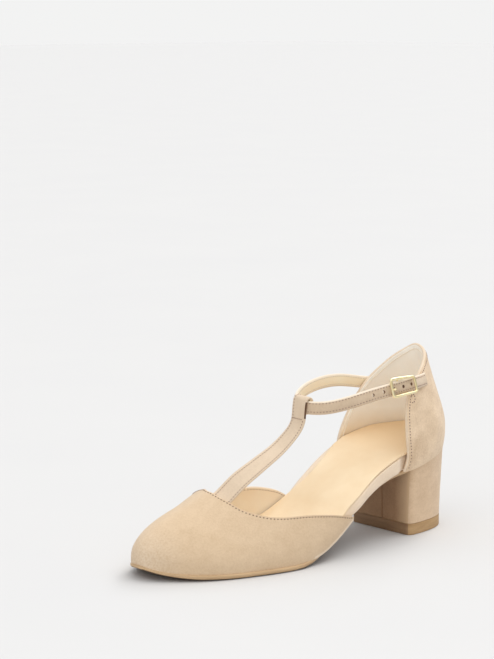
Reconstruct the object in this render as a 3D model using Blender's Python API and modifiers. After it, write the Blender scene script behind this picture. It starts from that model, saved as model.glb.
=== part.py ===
# Left T-strap pump with a covered block heel, closed toe and heel, open waist.
# The frame is in metres, +Z up: the origin is on the floor under the middle of the heel,
# +X runs along the heel's centre line to the toe, and +Y points to the outer side.
# The tables and sizes below are in millimetres.

import math

import bmesh
import bpy
import numpy as np
from mathutils import Vector

MM = 0.001
GAP = 0.3
SOLE_GAP = 0.4

# Driving sizes of the sole and the heel
OUTSOLE_THICK = 2.9
OUTSOLE_TOE_THICK = 1.9
OUTSOLE_WAIST_THICK = 2.8
OUTSOLE_ROUND = 0.6
OUTSOLE_MARGIN = 0.3
OUTSOLE_TOE_INSET = 0.6
OUTSOLE_WAIST_INSET = 5.0
OUTSOLE_WAIST_ENDS = (86.0, 118.0)
OUTSOLE_TOE_X = 175.0
BREAST_X = 15.0
TOP_PIECE_HEIGHT = 7.0
HEEL_BASE_BACK_X = -28.5
HEEL_BASE_HALF_WIDTH = 25.5
HEEL_SEAT_INSET = 1.0
HEEL_CORNER = 4.0

# Driving sizes of the upper
VAMP_WALL = 2.0
COUNTER_WALL = 2.6
FEATHER_TUCK = 0.8
TUCK_HEIGHT = 9.0
THROAT_SLOPE = 0.93
FOOTBED_SIDE_INSET = 0.5
FOOTBED_HIDDEN_INSET = 3.6
FOOTBED_ROUND = 1.0
FOOTBED_ROLL = 3.5
SOCK_THICK = 1.3
SOCK_INSET = 1.0
SOCK_RIM = 6.5
SOCK_RIM_X = ((20.0, 30.0), (34.0, 48.0), (62.0, 80.0))
COUNTER_END_X = {1: 23.4, -1: 28.8}
VAMP_START_X = 63.0

# Driving sizes of the straps and the buckle
T_STRAP_WIDTH, T_STRAP_FOOT_WIDTH, T_STRAP_THICK = 11.5, 13.2, 1.4
T_LOOP_RADIUS, T_LOOP_BOW = 2.6, 1.1
T_STRAP_END_Y, T_STRAP_TUCK = -7.0, 15.5
ANKLE_WIDTH, ANKLE_THICK = 8.0, 1.8
TAB_WIDTH, TAB_THICK = 5.4, 0.9
HOLE_COUNT, HOLE_SPACING, HOLE_WIDTH = 5, 7.7, 2.2
BUCKLE_LENGTH, BUCKLE_HEIGHT, BUCKLE_WIRE = 22.4, 12.0, 1.7
BUCKLE_CORNER = 1.7
BAR_WIRE = 1.3
PRONG_WIRE = 1.0

# Mesh density
VAMP_COLUMNS, VAMP_ROWS = 53, 11
COUNTER_COLUMNS, COUNTER_ROWS = 42, 11
SOLE_STATIONS = 37
LEAST_STATION_STEP = 1.2
WAIST_STATIONS = (23.0, 26.0, 28.8, 30.5, 32.0, 34.8, 41.5, 48.0,
                  54.0, 59.0, 63.0, 66.0, 69.0, 72.0, 75.0, 77.0)


class Table:
    """Rows of sizes under named columns, read as smooth curves against the first column."""

    def __init__(self, columns, *rows):
        self.key = columns[0]
        self.data = dict(zip(columns, np.array(rows, float).T))

    def at(self, name, value):
        return monotone(self.data[self.key], self.data[name], value)


def monotone(xs, ys, x):
    """Cubic curve through the points that never swings past them, and holds its end values."""
    step = np.diff(xs)
    slope = np.diff(ys) / step
    tangent = np.zeros(len(xs))
    for i in range(1, len(xs) - 1):
        before, after = slope[i - 1], slope[i]
        if before * after > 0:
            w1 = 2 * step[i] + step[i - 1]
            w2 = step[i] + 2 * step[i - 1]
            tangent[i] = (w1 + w2) / (w1 / before + w2 / after)
    tangent[0], tangent[-1] = slope[0], slope[-1]
    x = np.clip(x, xs[0], xs[-1])
    i = np.clip(np.searchsorted(xs, x, side="right") - 1, 0, len(step) - 1)
    t = (x - xs[i]) / step[i]
    return (
        (2 * t**3 - 3 * t**2 + 1) * ys[i]
        + (t**3 - 2 * t**2 + t) * step[i] * tangent[i]
        + (3 * t**2 - 2 * t**3) * ys[i + 1]
        + (t**3 - t**2) * step[i] * tangent[i + 1]
    )


def smooth_path(points, count, closed=False):
    """Evenly spread points on the natural cubic spline through the given ones."""
    knots = np.array(points, float)
    wrap = 6 if closed else 0
    if closed:
        knots = np.vstack([knots[-wrap:], knots, knots[: wrap + 1]])
    at = np.concatenate([[0], np.cumsum(np.linalg.norm(np.diff(knots, axis=0), axis=1))])
    h = np.diff(at)[:, None]
    slopes = np.diff(knots, axis=0) / h
    system = np.eye(len(knots))
    bends = np.zeros_like(knots)
    for i in range(1, len(knots) - 1):
        system[i, i - 1 : i + 2] = h[i - 1, 0], 2 * (h[i - 1, 0] + h[i, 0]), h[i, 0]
        bends[i] = 6 * (slopes[i] - slopes[i - 1])
    second = np.linalg.solve(system, bends)
    s = np.linspace(at[wrap], at[len(at) - 1 - wrap], count)
    i = np.clip(np.searchsorted(at, s, side="right") - 1, 0, len(h) - 1)
    a = (at[i + 1] - s)[:, None] / h[i]
    b = 1 - a
    return (
        a * knots[i]
        + b * knots[i + 1]
        + ((a**3 - a) * second[i] + (b**3 - b) * second[i + 1]) * h[i] ** 2 / 6
    )


def ease(low, high, value):
    """0 below low, 1 above high, and a smooth rise between."""
    t = np.clip((value - low) / (high - low), 0, 1)
    return t * t * (3 - 2 * t)


# The feather line: the edge where the upper meets the sole, seen from above,
# from the back of the heel along the outer side to the toe and back along the inner side.
FEATHER_OUTLINE = (
    (-35.2, 0.0), (-28.9, 15.6), (-14.8, 24.8), (6.0, 29.6), (30.0, 29.5), (52.0, 29.7),
    (72.0, 32.2), (92.0, 34.0), (110.0, 34.4), (128.0, 32.3), (147.6, 26.6), (166.0, 19.5),
    (181.2, 10.4), (193.4, -0.3), (200.4, -8.8), (202.9, -17.2), (200.3, -25.7), (192.1, -34.2),
    (178.1, -41.5), (162.8, -46.9), (145.0, -50.0), (125.4, -48.5), (107.1, -42.1), (89.2, -33.0),
    (72.0, -27.0), (52.0, -26.0), (30.0, -27.6), (6.0, -29.0), (-14.8, -24.8), (-28.9, -15.6),
)

# Height of the feather line and of the footbed on it, along the shoe, and how much higher
# the footbed stands under the inner arch of the foot
PROFILE = Table(
    ("x", "feather", "footbed", "arch"),
    (-38.0, 52.8, 9.6, 0.0),
    (-20.0, 49.4, 10.2, 0.8),
    (0.0, 46.0, 11.0, 1.9),
    (14.0, 43.7, 10.8, 1.8),
    (28.0, 41.9, 9.8, 3.0),
    (46.0, 36.2, 8.8, 2.5),
    (60.0, 29.2, 8.2, 1.2),
    (69.0, 23.5, 8.2, 0.4),
    (78.0, 17.9, 6.4, 0.0),
    (84.0, 14.2, 5.4, 0.0),
    (90.0, 11.0, 4.6, 0.0),
    (95.0, 8.6, 4.2, 0.0),
    (100.0, 6.7, 3.9, 0.0),
    (106.0, 5.2, 3.7, 0.0),
    (113.0, 4.0, 3.5, 0.0),
    (121.0, 3.3, 3.5, 0.0),
    (158.0, 3.3, 3.5, 0.0),
    (170.0, 3.7, 3.5, 0.0),
    (182.0, 4.4, 3.5, 0.0),
    (192.0, 5.7, 3.5, 0.0),
    (198.0, 7.3, 3.5, 0.0),
    (204.0, 10.2, 3.5, 0.0),
)

# The instep ridge over the vamp, as the last would carry it on: where it runs and how high
RIDGE = Table(
    ("x", "y", "z"),
    (60.0, -2.0, 84.0),
    (90.0, -6.0, 70.0),
    (110.0, -9.0, 60.9),
    (128.0, -12.0, 52.8),
    (140.0, -14.0, 48.1),
    (150.0, -15.5, 44.5),
    (165.0, -17.0, 40.5),
    (180.0, -17.5, 40.1),
    (206.0, -17.5, 41.0),
)
TOE_FAN_X = 128.0
RIDGE_LEAN = 0.30
RIDGE_ROUND = 10.0

# Vamp topline: share of the feather line from the outer to the inner wing tip, how far out from
# the ridge to the feather line the leather ends, seen from above, and the arch's fullness
VAMP_TOPLINE = Table(
    ("share", "reach", "full"),
    (0.00, 0.9993, 1.81),
    (0.02, 0.987, 1.83),
    (0.053, 0.944, 1.87),
    (0.112, 0.861, 1.95),
    (0.18, 0.773, 2.03),
    (0.26, 0.623, 2.12),
    (0.34, 0.432, 2.21),
    (0.42, 0.325, 2.31),
    (0.50, 0.271, 2.34),
    (0.58, 0.296, 2.22),
    (0.62, 0.345, 2.13),
    (0.66, 0.418, 2.04),
    (0.73, 0.628, 1.97),
    (0.80, 0.784, 1.96),
    (0.875, 0.842, 1.96),
    (0.925, 0.898, 1.96),
    (0.955, 0.941, 1.96),
    (0.985, 0.980, 1.96),
    (1.00, 0.996, 1.96),
)
VAMP_OUTER_X, VAMP_INNER_X = 71.0, 72.0

# Counter: how far its wall stands outside the feather line at each height, at the back and
# the sides, and how far it is drawn in at the corners between them
COUNTER_WALLS = Table(
    ("height", "back", "side", "pinch"),
    (0.0, 0.0, 0.0, 0.0),
    (8.0, 0.6, 0.9, 0.0),
    (18.0, 0.0, 1.2, 0.0),
    (28.0, -2.7, 0.5, 0.4),
    (38.0, -6.4, -1.0, 0.9),
    (48.0, -10.2, -3.2, 1.2),
    (58.0, -13.6, -5.6, 1.2),
    (70.0, -17.2, -8.6, 1.2),
)
# Counter front edges, from the sole up: where the leather ends on each side
COUNTER_FRONT = Table(
    ("height", "outer_x", "inner_x"),
    (0.0, 19.8, 28.0),
    (12.0, 21.8, 24.6),
    (24.0, 22.8, 18.2),
    (36.0, 22.4, 10.0),
    (44.0, 20.2, 4.0),
    (50.0, 16.0, -2.0),
)
# Counter topline, as the share of the way from a front corner to the back
COUNTER_TOPLINE = Table(
    ("share", "height"),
    (0.00, 50.0),
    (0.12, 54.0),
    (0.30, 58.9),
    (0.55, 62.5),
    (0.80, 64.1),
    (1.00, 64.0),
)

# T-strap centre line from the throat to its loop, and how far its outer edge hangs
T_STRAP_ROUTE = Table(
    ("x", "y", "z", "roll"),
    (86.4, -2.4, 79.6, 3.0),
    (92.4, -2.6, 71.8, 10.0),
    (102.4, -2.9, 64.6, 17.0),
    (113.0, -3.1, 59.5, 22.0),
    (124.0, -3.8, 54.2, 24.0),
    (134.0, -5.0, 48.6, 25.0),
)
T_STRAP_END_X = 160.0
T_STRAP_FLARE_X = (104.0, 138.0)

# The loop at the T-strap's top: its front face, the way that faces, and how its back leg
# runs down behind the ankle strap and forward
T_LOOP_FRONT, T_LOOP_TOP = (85.7, -2.3, 87.2), (84.9, -2.2, 92.2)
T_LOOP_FACES = (0.98, 0.0, 0.2)
T_LOOP_BACK = ((5.4, 0.0), (7.8, 0.5), (9.8, 1.9))
T_LOOP_BOW_X = (84.0, 100.0)

# Ankle strap centre line: from the inner side through the T-strap's loop to the buckle
ANKLE_ROUTE = (
    (20.0, -29.2, 93.0), (42.0, -26.6, 94.2), (60.0, -21.2, 93.2), (73.0, -15.3, 91.0),
    (79.6, -10.5, 89.2), (82.6, -5.6, 88.7), (83.1, -1.4, 88.2), (82.2, 3.4, 88.0),
    (78.8, 10.0, 88.2), (65.0, 20.0, 91.0),
    (49.5, 26.3, 94.8), (38.0, 29.2, 96.6), (26.5, 30.3, 97.8), (14.5, 28.6, 98.2),
)
BUCKLE_AT = (29.9, 30.1, 97.4)
ANKLE_LEAN = 0.24
ANKLE_PLUMB_X, ANKLE_PLUMB_Y = (2.0, 24.0), (-6.0, -16.0)

OUTLINE = smooth_path(FEATHER_OUTLINE, 1200, closed=True)
TOE_INDEX = int(OUTLINE[:, 0].argmax())
OUTER_SIDE = OUTLINE[: TOE_INDEX + 1]
INNER_SIDE = OUTLINE[TOE_INDEX:][::-1]
HEEL_X, TOE_X = OUTLINE[:, 0].min(), OUTLINE[:, 0].max()


def edge(x, side):
    """Y of the feather line at x, on the outer (+1) or inner (-1) side."""
    line = OUTER_SIDE if side > 0 else INNER_SIDE
    return np.interp(x, line[:, 0], line[:, 1])


def feather(x):
    return PROFILE.at("feather", x)


def along_feather(start_x, start_side, end_x, end_side, count):
    """Points of the feather line, evenly spread, from one side round the toe to the other."""
    first = np.abs(OUTLINE[:, 0] - start_x) + 1e3 * (np.sign(OUTLINE[:, 1] + 16) != start_side)
    last = np.abs(OUTLINE[:, 0] - end_x) + 1e3 * (np.sign(OUTLINE[:, 1] + 16) != end_side)
    run = OUTLINE[int(first.argmin()) : int(last.argmin()) + 1]
    lengths = np.concatenate([[0], np.cumsum(np.linalg.norm(np.diff(run, axis=0), axis=1))])
    at = np.linspace(0, lengths[-1], count)
    return np.column_stack([np.interp(at, lengths, run[:, k]) for k in (0, 1)])


def material(name, colour, roughness, metallic=0.0):
    made = bpy.data.materials.new(name)
    made.use_nodes = True
    shader = made.node_tree.nodes["Principled BSDF"]
    shader.inputs["Base Color"].default_value = (*colour, 1.0)
    shader.inputs["Roughness"].default_value = roughness
    shader.inputs["Metallic"].default_value = metallic
    return made


def add_piece(name, points, faces, finish):
    """One named mesh object from points in millimetres."""
    mesh = bpy.data.meshes.new(name)
    mesh.from_pydata([Vector(p) * MM for p in points], [], faces)
    mesh.update()
    mesh.materials.append(finish)
    mesh.shade_smooth()
    mesh.set_sharp_from_angle(angle=math.radians(35))
    piece = bpy.data.objects.new(name, mesh)
    PARTS.objects.link(piece)
    piece.parent = SHOE
    return piece


def strip_faces(rows, columns, closed):
    """Quads of a grid of points stored row by row."""
    faces = []
    for r in range(rows - 1):
        for c in range(columns if closed else columns - 1):
            d = (c + 1) % columns
            faces.append((r * columns + c, r * columns + d, (r + 1) * columns + d, (r + 1) * columns + c))
    return faces


def ladder_cap(ring, flip):
    """Faces across a ring of points, rung by rung, from its first and last point inwards."""
    half = len(ring) // 2
    faces = []
    for i in range(half - 1):
        rung = (ring[i], ring[i + 1], ring[-2 - i], ring[-1 - i])
        faces.append(rung[::-1] if flip else rung)
    if len(ring) % 2:
        tip = (ring[half - 1], ring[half], ring[half + 1])
        faces.append(tip[::-1] if flip else tip)
    return faces


def add_loft(name, rings, finish):
    """A closed solid through rings of points, each ring closed by rungs across it."""
    count = len(rings[0])
    faces = strip_faces(len(rings), count, closed=True)
    faces += ladder_cap(list(range(count)), flip=True)
    last = (len(rings) - 1) * count
    faces += ladder_cap(list(range(last, last + count)), flip=False)
    piece = add_piece(name, np.vstack(rings), faces, finish)
    face_outwards(piece)
    return piece


def face_outwards(piece):
    work = bmesh.new()
    work.from_mesh(piece.data)
    bmesh.ops.recalc_face_normals(work, faces=work.faces)
    work.to_mesh(piece.data)
    work.free()


def add_shell(name, grid, wall, finish):
    """A wall of even thickness inside an open surface of rows and columns."""
    rows, columns = len(grid), len(grid[0])
    piece = add_piece(name, np.vstack(grid), strip_faces(rows, columns, closed=False), finish)
    solidify = piece.modifiers.new("wall", "SOLIDIFY")
    solidify.thickness = wall * MM
    solidify.offset = -1.0
    solidify.use_even_offset = True
    return piece


def end_stations(low, high, count):
    """Stations along the shoe that crowd towards both round ends."""
    return (low + high) / 2 - (high - low) / 2 * np.cos(np.linspace(0, math.pi, count))


def insole_stations(low, high):
    """Stations of the insole layers, with more of them where the leather starts and ends."""
    first, last = WAIST_STATIONS[0] - LEAST_STATION_STEP, WAIST_STATIONS[-1] + LEAST_STATION_STEP
    even = [x for x in end_stations(low, high, SOLE_STATIONS) if not first < x < last]
    return sorted(even + list(WAIST_STATIONS))


def slab_ring(x, edges, low_z, high_z, low_round, high_round):
    """One cross-section of a sole layer with rounded edges; outer and inner values may differ."""
    width = edges[0] - edges[1]
    ring = []
    for i, side in enumerate((1, -1)):
        base, top, low, high = (np.broadcast_to(v, 2)[i] for v in (low_z, high_z, low_round, high_round))
        low, high = min(low, width / 3), min(high, width / 3)
        run = []
        for turn in (90, 45, 0):
            drawn_in, short = 1 - math.cos(math.radians(turn)), 1 - math.sin(math.radians(turn))
            run.append((x, edges[i] - side * high * drawn_in, top - high * short))
        for turn in (0, 45, 90):
            drawn_in, short = 1 - math.cos(math.radians(turn)), 1 - math.sin(math.radians(turn))
            run.append((x, edges[i] - side * low * drawn_in, base + low * short))
        ring += run if side > 0 else run[::-1]
    return ring


def footbed_shown(x, side):
    """1 at the waist, where the footbed's side shows, and 0 inside the leather at toe and heel."""
    counter_end = COUNTER_END_X[side]
    return ease(counter_end, counter_end + 5, x) - ease(VAMP_START_X, VAMP_START_X + 12, x)


def footbed_edges(x):
    """Outer and inner y of the footbed."""
    insets = [FOOTBED_HIDDEN_INSET + footbed_shown(x, side) * (FOOTBED_SIDE_INSET - FOOTBED_HIDDEN_INSET)
              for side in (1, -1)]
    return inside_edges(x, insets[0])[0], inside_edges(x, insets[1])[1]


def footbed_top(x, y):
    """Height of the footbed's upper face, which leans up towards the inner arch."""
    outer, inner = footbed_edges(x)
    flat = feather(x) + PROFILE.at("footbed", x)
    return flat + PROFILE.at("arch", x) * (outer - y) / max(outer - inner, FOOTBED_HIDDEN_INSET)


def sock_inset(x, side):
    """The sock reaches the counter's wall and leaves a rim of the footbed bare at the waist."""
    in_counter = 1 - ease(COUNTER_END_X[1] + 1, COUNTER_END_X[1] + 8, x)
    in_vamp = ease(VAMP_START_X, VAMP_START_X + 14, x)
    at_back = ease(0, -25, x)
    inset = SOCK_INSET + in_counter * (1.0 + 0.9 * at_back) + in_vamp * 2.4
    if side < 0:
        rim = (ease(*SOCK_RIM_X[0], x) + ease(*SOCK_RIM_X[1], x)) / 2
        inset += SOCK_RIM * rim * (1 - ease(*SOCK_RIM_X[2], x))
    return inset


def add_outsole(finish):
    """The thin sole under forefoot and waist, ending against the heel's breast."""
    rings = []
    low, high = BREAST_X + GAP, TOE_X - OUTSOLE_TOE_INSET - 0.15
    for x in end_stations(2 * low - high, high, 2 * SOLE_STATIONS - 1)[SOLE_STATIONS - 1 :]:
        waist = 1 - ease(*OUTSOLE_WAIST_ENDS, x)
        toe = ease(OUTSOLE_TOE_X, TOE_X, x)
        margin = OUTSOLE_MARGIN - waist * (OUTSOLE_WAIST_INSET + OUTSOLE_MARGIN)
        margin -= toe * (OUTSOLE_TOE_INSET + OUTSOLE_MARGIN)
        top = feather(x) - SOLE_GAP
        thick = OUTSOLE_THICK - waist * (OUTSOLE_THICK - OUTSOLE_WAIST_THICK)
        thick -= toe * (OUTSOLE_THICK - OUTSOLE_TOE_THICK)
        rings.append(slab_ring(x, inside_edges(x, -margin), top - thick, top, OUTSOLE_ROUND * thick, 0.5))
    return add_loft("outsole", rings, finish)


def add_footbed(finish):
    """The cushioned insole board, covered in suede where its side shows at the waist."""
    rings = []
    tip = FOOTBED_HIDDEN_INSET
    for x in insole_stations(HEEL_X + tip + 1.8, TOE_X - tip - 1.8):
        edges = footbed_edges(x)
        roll = FOOTBED_ROUND + footbed_shown(x, -1) * (FOOTBED_ROLL - FOOTBED_ROUND)
        tops = footbed_top(x, edges[0] - FOOTBED_ROUND), footbed_top(x, edges[1] + roll)
        rings.append(slab_ring(x, edges, feather(x), tops, 2.2, (FOOTBED_ROUND, roll)))
    return add_loft("footbed", rings, finish)


def inside_edges(x, inset):
    """Outer and inner y of the feather line drawn in by an inset, at x."""
    outline = OUTLINE
    tangent = np.roll(outline, -1, axis=0) - np.roll(outline, 1, axis=0)
    tangent /= np.linalg.norm(tangent, axis=1)[:, None]
    drawn_in = outline + np.column_stack([tangent[:, 1], -tangent[:, 0]]) * inset
    toe, heel = int(drawn_in[:, 0].argmax()), int(drawn_in[:, 0].argmin())
    ring = np.roll(drawn_in, -heel, axis=0)
    toe = (toe - heel) % len(ring)
    outer, inner = ring[: toe + 1], ring[toe:][::-1]
    return np.interp(x, outer[:, 0], outer[:, 1]), np.interp(x, inner[:, 0], inner[:, 1])


def add_sock(finish):
    """The leather sock on which the foot rests."""
    rings = []
    for x in insole_stations(HEEL_X + sock_inset(HEEL_X, 1) + 0.5, TOE_X - sock_inset(TOE_X, 1) - 0.5):
        edges = inside_edges(x, sock_inset(x, 1))[0], inside_edges(x, sock_inset(x, -1))[1]
        bottoms = np.array([footbed_top(x, y) + GAP for y in edges])
        rings.append(slab_ring(x, edges, bottoms, bottoms + SOCK_THICK, 0.3, 0.5))
    return add_loft("insole_sock", rings, finish)


def vamp_top(share):
    """Arch angle at which the leather ends: 0 at the feather line, 90 on the ridge."""
    reach = VAMP_TOPLINE.at("reach", share)
    return math.degrees(math.acos(reach ** (VAMP_TOPLINE.at("full", share) / 2)))


def vamp_point(base, share, arch):
    """A point of the vamp's outer face, up the arch that stands on a point of the feather line."""
    full = VAMP_TOPLINE.at("full", share)
    spine_x = min(base[0], TOE_FAN_X)
    spine = np.array([spine_x, RIDGE.at("y", spine_x)])
    reach = math.cos(math.radians(arch)) ** (2 / full)
    lift = math.sin(math.radians(arch)) ** (2 / full)
    x, y = spine + (base - spine) * reach
    to_outer = max(0.0, y - RIDGE.at("y", x))
    ridge = RIDGE.at("z", x) - RIDGE_LEAN * to_outer**2 / (to_outer + RIDGE_ROUND)
    height = (ridge - feather(x)) * lift
    tuck = FEATHER_TUCK * max(0.0, 1 - height / TUCK_HEIGHT) ** 2
    inward = (spine - base) / np.linalg.norm(spine - base)
    return np.array([x + inward[0] * tuck, y + inward[1] * tuck, feather(x) + height])


def add_vamp(finish):
    """The closed toe with its two wings, from the feather line up to the throat."""
    bases = along_feather(VAMP_OUTER_X, 1, VAMP_INNER_X, -1, VAMP_COLUMNS)
    grid = []
    for rise in np.linspace(0, 1, VAMP_ROWS):
        row = []
        for i, base in enumerate(bases):
            share = i / (VAMP_COLUMNS - 1)
            row.append(vamp_point(base, share, vamp_top(share) * rise))
        grid.append(row[::-1])
    return add_shell("vamp", grid, VAMP_WALL, finish)


def counter_point(foot_x, side, height):
    """A point of the counter's outer face above the feather line, and the way the wall faces."""
    line = OUTER_SIDE if side > 0 else INNER_SIDE
    i = int(np.clip(np.searchsorted(line[:, 0], foot_x), 1, len(line) - 2))
    tangent = line[i + 1] - line[i - 1]
    tangent /= np.linalg.norm(tangent)
    normal = np.array([-tangent[1], tangent[0]]) * side
    backness = max(0.0, -normal[0])
    back, side_wall, pinch = (COUNTER_WALLS.at(name, height) for name in ("back", "side", "pinch"))
    stand = back * backness + side_wall * (1 - backness) - pinch * 4 * backness * (1 - backness)
    tuck = FEATHER_TUCK * max(0.0, 1 - height / TUCK_HEIGHT) ** 2
    base = np.array([foot_x, np.interp(foot_x, line[:, 0], line[:, 1])])
    x, y = base + normal * (stand - tuck)
    return np.array([x, y, feather(foot_x) + height]), np.array([normal[0], normal[1], 0.0])


def add_counter(finish):
    """The closed heel part, from one front edge round the back to the other."""
    heel_run = np.linspace(-1, 1, COUNTER_COLUMNS)
    grid = []
    for rise in np.linspace(0, 1, COUNTER_ROWS):
        row = []
        for turn in heel_run:
            side = 1 if turn < 0 else -1
            height = rise * COUNTER_TOPLINE.at("height", 1 - abs(turn))
            front = COUNTER_FRONT.at("outer_x" if side > 0 else "inner_x", height)
            row.append(counter_point(heel_station(front, side, abs(turn)), side, height)[0])
        grid.append(row)
    return add_shell("counter", grid, COUNTER_WALL, finish)


def heel_station(front_x, side, share):
    """X on the feather line at a share of its length from the back of the heel to front_x."""
    line = OUTER_SIDE if side > 0 else INNER_SIDE
    run = line[line[:, 0] <= front_x]
    lengths = np.concatenate([[0], np.cumsum(np.linalg.norm(np.diff(run, axis=0), axis=1))])
    return float(np.interp(share * lengths[-1], lengths, run[:, 0]))


def heel_contour(front_x, back_x, half_width, count=21):
    """A heel section from above: straight breast, rounded corners, sides that round to the back."""
    outer = []
    for a in np.linspace(0, math.pi / 2, 4):
        outer.append((front_x - HEEL_CORNER * (1 - math.sin(math.pi / 2 - a)),
                      half_width - HEEL_CORNER * (1 - math.sin(a))))
    side_x = front_x - HEEL_CORNER
    for a in np.linspace(0, math.pi / 2, count)[1:]:
        outer.append((side_x - (side_x - back_x) * math.sin(a) ** 0.9, half_width * math.cos(a) ** 0.62))
    inner = [(x, -y) for x, y in outer[-2::-1]]
    return np.array(outer + inner)


def add_heel(finish):
    """The block heel from the top piece up to the seat of the upper."""
    base = heel_contour(BREAST_X - 1.0, HEEL_BASE_BACK_X, HEEL_BASE_HALF_WIDTH)
    seat = heel_contour(BREAST_X, HEEL_X + HEEL_SEAT_INSET, edge(0.0, 1) - HEEL_SEAT_INSET)
    for spot in seat:
        outer, inner = inside_edges(spot[0], HEEL_SEAT_INSET)
        spot[1] = min(max(spot[1], inner), outer)
    rings = []
    for rise in np.linspace(0, 1, 7):
        flare = rise**1.3
        plan = base + (seat - base) * flare
        low = TOP_PIECE_HEIGHT + GAP
        top = feather(plan[:, 0]) - GAP
        rings.append(np.column_stack([plan, low + (top - low) * rise]))
    return add_loft("heel_block", rings, finish)


def add_top_piece(finish):
    """The wearing piece under the heel."""
    plan = heel_contour(BREAST_X - 1.0, HEEL_BASE_BACK_X, HEEL_BASE_HALF_WIDTH)
    rings = [np.column_stack([plan, np.full(len(plan), z)]) for z in (0.0, TOP_PIECE_HEIGHT)]
    return add_loft("top_piece", rings, finish)


def add_ribbon(name, path, up, width, thick, finish, bow=None):
    """A flat strip with eased edges along a path; up is the way its width points.

    A bow, one vector for each point of the path, draws the strip's edges over to one side.
    """
    path = np.array(path, float)
    up = np.broadcast_to(np.array(up, float), path.shape)
    tangent = np.gradient(path, axis=0)
    tangent /= np.linalg.norm(tangent, axis=1)[:, None]
    across = up - tangent * np.sum(up * tangent, axis=1)[:, None]
    across /= np.linalg.norm(across, axis=1)[:, None]
    face = np.cross(tangent, across)
    eased, t = 0.3 * thick, thick / 2
    flat = (1.0, -1.0) if bow is None else (1.0, 0.5, 0.0, -0.5, -1.0)
    bow = np.zeros_like(path) if bow is None else bow
    rings = []
    for p, a, f, b, w in zip(path, across, face, bow, np.broadcast_to(width, len(path)) / 2):
        upper = [(w, t - eased)] + [(share * (w - eased), t) for share in flat] + [(-w, t - eased)]
        section = upper + [(u, -v) for u, v in upper[::-1]]
        rings.append([p + a * u + f * v + b * (u / w) ** 2 for u, v in section])
    return add_loft(name, np.array(rings), finish)


def tube_rings(path, radius, closed, sides=8):
    path = np.array(path, float)
    if closed:
        tangent = np.roll(path, -1, axis=0) - np.roll(path, 1, axis=0)
    else:
        tangent = np.gradient(path, axis=0)
    rings = []
    for point, along in zip(path, tangent):
        along = along / np.linalg.norm(along)
        first = np.cross(along, BUCKLE_OUT if abs(along @ BUCKLE_OUT) < 0.9 else BUCKLE_UP)
        first /= np.linalg.norm(first)
        second = np.cross(along, first)
        turns = np.linspace(0, 2 * math.pi, sides, endpoint=False) + math.pi / sides
        rings.append([point + radius * (math.cos(a) * first + math.sin(a) * second) for a in turns])
    return np.array(rings)


def vamp_height(x, y):
    """Height of the vamp's outer face over a spot near the throat."""
    bases = along_feather(VAMP_OUTER_X, 1, VAMP_INNER_X, -1, 400)
    spine = np.array([TOE_FAN_X, RIDGE.at("y", TOE_FAN_X)])
    away = np.array([x, y]) - spine
    turn = np.arctan2(bases[:, 1] - spine[1], bases[:, 0] - spine[0]) - math.atan2(away[1], away[0])
    i = int(np.abs(turn).argmin())
    reach = np.linalg.norm(away) / np.linalg.norm(bases[i] - spine)
    full = VAMP_TOPLINE.at("full", i / 399)
    arch = math.degrees(math.acos(min(1.0, reach ** (full / 2))))
    return vamp_point(bases[i], i / 399, arch)[2]


def add_t_strap(finish):
    """The strap from under the throat up the instep, folded into a loop for the ankle strap."""
    rows = T_STRAP_ROUTE.data
    sunk = (VAMP_WALL + 4 * GAP + T_STRAP_THICK / 2) / THROAT_SLOPE
    under = [
        (x, T_STRAP_END_Y, vamp_height(x, T_STRAP_END_Y) - sunk)
        for x in np.linspace(T_STRAP_END_X, T_STRAP_END_X - T_STRAP_TUCK, 4)
    ]
    rising = list(zip(rows["x"], rows["y"], rows["z"]))[::-1]
    front = smooth_path(under + rising + [T_LOOP_FRONT, T_LOOP_TOP], 30)
    out = np.array(T_LOOP_FACES)
    out /= np.linalg.norm(out)
    lift = np.cross(out, (0.0, 1.0, 0.0))
    lift *= np.sign(lift[2])
    fold_at = front[-1] - out * T_LOOP_RADIUS
    fold = [
        fold_at + T_LOOP_RADIUS * (out * math.cos(a) + lift * math.sin(a))
        for a in np.linspace(0, math.pi, 9)[1:]
    ]
    back = [fold[-1] - lift * down + out * out_by for down, out_by in T_LOOP_BACK]
    path = np.vstack([front, fold, smooth_path([fold[-1]] + back, 7)[1:]])
    roll = np.radians(monotone(rows["x"], rows["roll"], path[:, 0]))
    roll[len(front) :] = roll[len(front) - 1]
    up = np.column_stack([np.zeros(len(path)), np.cos(roll), -np.sin(roll)])
    bow = -out * T_LOOP_BOW * (1 - ease(*T_LOOP_BOW_X, path[:, 0]))[:, None]
    width = T_STRAP_WIDTH + (T_STRAP_FOOT_WIDTH - T_STRAP_WIDTH) * ease(*T_STRAP_FLARE_X, path[:, 0])
    return add_ribbon("t_strap", path, up, width, T_STRAP_THICK, finish, bow)


def beside_counter(foot_x, side, height, stand):
    point, normal = counter_point(foot_x, side, height)
    return point + normal * stand


def ankle_ups(path):
    """The strap leans inwards at its top, as the ankle does, and hangs plumb along the inner side."""
    tangent = np.gradient(path, axis=0)
    out = np.column_stack([tangent[:, 1], -tangent[:, 0], np.zeros(len(path))])
    out /= np.linalg.norm(out, axis=1)[:, None]
    plumb = ease(*ANKLE_PLUMB_X, path[:, 0]) * ease(*ANKLE_PLUMB_Y, path[:, 1])
    return np.array([0.0, 0.0, 1.0]) - (ANKLE_LEAN * (1 - plumb))[:, None] * out


def ankle_path():
    rest = GAP + ANKLE_THICK / 2 + 0.1
    inner_end = [beside_counter(-14.0, -1, 40.0, rest), beside_counter(-3.0, -1, 42.6, rest)]
    outer_end = [beside_counter(5.0, 1, 52.6, rest), beside_counter(-1.5, 1, 51.8, rest)]
    return smooth_path(inner_end + list(ANKLE_ROUTE) + outer_end, 63)


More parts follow.
